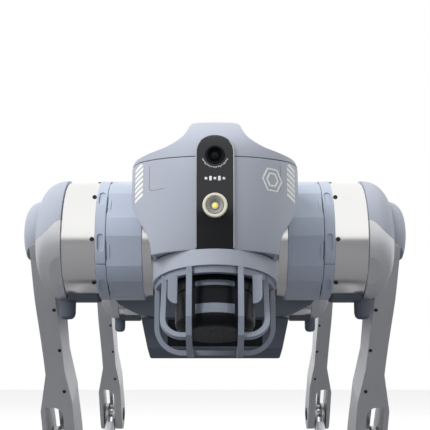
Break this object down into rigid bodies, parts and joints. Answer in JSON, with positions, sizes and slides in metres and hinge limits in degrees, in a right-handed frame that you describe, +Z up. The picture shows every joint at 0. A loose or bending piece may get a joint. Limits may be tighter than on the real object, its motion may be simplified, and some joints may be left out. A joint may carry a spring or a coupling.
{
  "type": "quadruped robot dog",
  "caption": "Four-legged walking robot with hip, thigh and knee motors, a head with camera, lamp and spinning scanner, a slide-out battery and payload rails on its back.",
  "frame": {"origin": "on the ground under the middle of the whole length and width, as it stands", "axes": "+Z up, -Y towards the robot's front, +X towards the robot's left side"},
  "size_m": [0.328, 0.6753, 0.4321],
  "materials": {
    "shell_paint": "smooth satin blue-grey shell",
    "hip_paint": "satin blue-grey paint",
    "motor_silver": "fine bead-blasted silver",
    "arm_metal": "grey anodised",
    "dark_slate": "fine texture",
    "window_black": "gloss",
    "bezel_cream": "gloss",
    "lidar_black": "gloss",
    "cage_grey": "satin",
    "frame_metal": "satin",
    "bright_steel": "turned",
    "dark_steel": "black oxide",
    "foot_rubber": "matt",
    "board_green": "solder mask",
    "battery_case": "fine texture",
    "button_grey": "smooth"
  },
  "bodies": {
    "trunk": {"trunk_frame": "frame_metal", "abduction_motors": "motor_silver", "back_cover": "shell_paint", "belly_cover": "dark_slate", "payload_rails": "dark_slate", "main_board": "board_green", "trunk_screws": "dark_steel", "tail_cover": "shell_paint", "head_crown": "shell_paint", "head_face_shell": "shell_paint", "face_window": "window_black", "head_camera": "lidar_black", "head_lamp": "bezel_cream", "chin_rim": "shell_paint", "lidar_base": "dark_slate", "lidar_guard": "cage_grey", "head_speaker": "dark_steel"},
    "lidar_rotor": {"lidar_rotor": "lidar_black"},
    "battery": {"battery_pack": "battery_case"},
    "power_button": {"power_button": "button_grey"},
    "front_left_hip": {"front_left_hip_housing": "hip_paint", "front_left_hip_motor": "motor_silver"},
    "front_left_thigh": {"front_left_thigh_link": "arm_metal", "front_left_thigh_motor_case": "motor_silver", "front_left_thigh_collar": "hip_paint", "front_left_thigh_cover": "shell_paint"},
    "front_left_crank": {"front_left_knee_crank": "bright_steel"},
    "front_left_rod": {"front_left_knee_rod": "bright_steel"},
    "front_left_calf": {"front_left_calf_link": "arm_metal", "front_left_foot": "foot_rubber"},
    "front_right_hip": {"front_right_hip_housing": "hip_paint", "front_right_hip_motor": "motor_silver"},
    "front_right_thigh": {"front_right_thigh_link": "arm_metal", "front_right_thigh_motor_case": "motor_silver", "front_right_thigh_collar": "hip_paint", "front_right_thigh_cover": "shell_paint"},
    "front_right_crank": {"front_right_knee_crank": "bright_steel"},
    "front_right_rod": {"front_right_knee_rod": "bright_steel"},
    "front_right_calf": {"front_right_calf_link": "arm_metal", "front_right_foot": "foot_rubber"},
    "rear_left_hip": {"rear_left_hip_housing": "hip_paint", "rear_left_hip_motor": "motor_silver"},
    "rear_left_thigh": {"rear_left_thigh_link": "arm_metal", "rear_left_thigh_motor_case": "motor_silver", "rear_left_thigh_collar": "hip_paint", "rear_left_thigh_cover": "shell_paint"},
    "rear_left_crank": {"rear_left_knee_crank": "bright_steel"},
    "rear_left_rod": {"rear_left_knee_rod": "bright_steel"},
    "rear_left_calf": {"rear_left_calf_link": "arm_metal", "rear_left_foot": "foot_rubber"},
    "rear_right_hip": {"rear_right_hip_housing": "hip_paint", "rear_right_hip_motor": "motor_silver"},
    "rear_right_thigh": {"rear_right_thigh_link": "arm_metal", "rear_right_thigh_motor_case": "motor_silver", "rear_right_thigh_collar": "hip_paint", "rear_right_thigh_cover": "shell_paint"},
    "rear_right_crank": {"rear_right_knee_crank": "bright_steel"},
    "rear_right_rod": {"rear_right_knee_rod": "bright_steel"},
    "rear_right_calf": {"rear_right_calf_link": "arm_metal", "rear_right_foot": "foot_rubber"}
  },
  "joints": [
    {"name": "lidar_spin", "type": "hinge", "parent": "trunk", "child": "lidar_rotor", "pos_m": [0, -0.2935, 0.31313], "axis": [0, 0.2588, 0.9659], "continuous": true},
    {"name": "battery_slide", "type": "slide", "parent": "trunk", "child": "battery", "axis": [-1, 0, 0], "range_m": [-0.115, 0]},
    {"name": "power_press", "type": "slide", "parent": "battery", "child": "power_button", "axis": [-1, 0, 0], "range_m": [0, 0.0015], "stiffness_N_per_m": 400, "springref_m": -0.001},
    {"name": "front_left_hip_roll", "type": "hinge", "parent": "trunk", "child": "front_left_hip", "pos_m": [0.0465, -0.1979, 0.36113], "axis": [0, 1, 0], "range_deg": [-48, 40]},
    {"name": "front_left_thigh_pitch", "type": "hinge", "parent": "front_left_hip", "child": "front_left_thigh", "pos_m": [0.142, -0.1979, 0.36113], "axis": [1, 0, 0], "range_deg": [-127.24, 62.76]},
    {"name": "front_left_knee", "type": "hinge", "parent": "front_left_thigh", "child": "front_left_calf", "pos_m": [0.142, -0.069, 0.19157], "axis": [1, 0, 0], "range_deg": [-81.52, 26.48]},
    {"name": "front_left_crank_turn", "type": "hinge", "parent": "front_left_thigh", "child": "front_left_crank", "pos_m": [0.142, -0.1979, 0.36113], "axis": [1, 0, 0], "range_deg": [-81.62, 26.58]},
    {"name": "front_left_rod_pivot", "type": "hinge", "parent": "front_left_crank", "child": "front_left_rod", "pos_m": [0.14, -0.19321, 0.37108], "axis": [1, 0, 0], "range_deg": [-26.58, 81.62]},
    {"name": "front_right_hip_roll", "type": "hinge", "parent": "trunk", "child": "front_right_hip", "pos_m": [-0.0465, -0.1979, 0.36113], "axis": [0, 1, 0], "range_deg": [-40, 48]},
    {"name": "front_right_thigh_pitch", "type": "hinge", "parent": "front_right_hip", "child": "front_right_thigh", "pos_m": [-0.142, -0.1979, 0.36113], "axis": [1, 0, 0], "range_deg": [-127.24, 62.76]},
    {"name": "front_right_knee", "type": "hinge", "parent": "front_right_thigh", "child": "front_right_calf", "pos_m": [-0.142, -0.069, 0.19157], "axis": [1, 0, 0], "range_deg": [-81.52, 26.48]},
    {"name": "front_right_crank_turn", "type": "hinge", "parent": "front_right_thigh", "child": "front_right_crank", "pos_m": [-0.142, -0.1979, 0.36113], "axis": [1, 0, 0], "range_deg": [-81.62, 26.58]},
    {"name": "front_right_rod_pivot", "type": "hinge", "parent": "front_right_crank", "child": "front_right_rod", "pos_m": [-0.14, -0.19321, 0.37108], "axis": [1, 0, 0], "range_deg": [-26.58, 81.62]},
    {"name": "rear_left_hip_roll", "type": "hinge", "parent": "trunk", "child": "rear_left_hip", "pos_m": [0.0465, 0.1889, 0.36113], "axis": [0, 1, 0], "range_deg": [-48, 40]},
    {"name": "rear_left_thigh_pitch", "type": "hinge", "parent": "rear_left_hip", "child": "rear_left_thigh", "pos_m": [0.142, 0.1889, 0.36113], "axis": [1, 0, 0], "range_deg": [-47.24, 162.76]},
    {"name": "rear_left_knee", "type": "hinge", "parent": "rear_left_thigh", "child": "rear_left_calf", "pos_m": [0.142, 0.31781, 0.19157], "axis": [1, 0, 0], "range_deg": [-81.52, 26.48]},
    {"name": "rear_left_crank_turn", "type": "hinge", "parent": "rear_left_thigh", "child": "rear_left_crank", "pos_m": [0.142, 0.1889, 0.36113], "axis": [1, 0, 0], "range_deg": [-81.62, 26.58]},
    {"name": "rear_left_rod_pivot", "type": "hinge", "parent": "rear_left_crank", "child": "rear_left_rod", "pos_m": [0.14, 0.19359, 0.37108], "axis": [1, 0, 0], "range_deg": [-26.58, 81.62]},
    {"name": "rear_right_hip_roll", "type": "hinge", "parent": "trunk", "child": "rear_right_hip", "pos_m": [-0.0465, 0.1889, 0.36113], "axis": [0, 1, 0], "range_deg": [-40, 48]},
    {"name": "rear_right_thigh_pitch", "type": "hinge", "parent": "rear_right_hip", "child": "rear_right_thigh", "pos_m": [-0.142, 0.1889, 0.36113], "axis": [1, 0, 0], "range_deg": [-47.24, 162.76]},
    {"name": "rear_right_knee", "type": "hinge", "parent": "rear_right_thigh", "child": "rear_right_calf", "pos_m": [-0.142, 0.31781, 0.19157], "axis": [1, 0, 0], "range_deg": [-81.52, 26.48]},
    {"name": "rear_right_crank_turn", "type": "hinge", "parent": "rear_right_thigh", "child": "rear_right_crank", "pos_m": [-0.142, 0.1889, 0.36113], "axis": [1, 0, 0], "range_deg": [-81.62, 26.58]},
    {"name": "rear_right_rod_pivot", "type": "hinge", "parent": "rear_right_crank", "child": "rear_right_rod", "pos_m": [-0.14, 0.19359, 0.37108], "axis": [1, 0, 0], "range_deg": [-26.58, 81.62]}
  ],
  "couplings": [
    {"joint": "front_left_crank_turn", "follows": "front_left_knee", "ratio": 1},
    {"joint": "front_left_rod_pivot", "follows": "front_left_knee", "ratio": -1},
    {"joint": "front_right_crank_turn", "follows": "front_right_knee", "ratio": 1},
    {"joint": "front_right_rod_pivot", "follows": "front_right_knee", "ratio": -1},
    {"joint": "rear_left_crank_turn", "follows": "rear_left_knee", "ratio": 1},
    {"joint": "rear_left_rod_pivot", "follows": "rear_left_knee", "ratio": -1},
    {"joint": "rear_right_crank_turn", "follows": "rear_right_knee", "ratio": 1},
    {"joint": "rear_right_rod_pivot", "follows": "rear_right_knee", "ratio": -1}
  ]
}
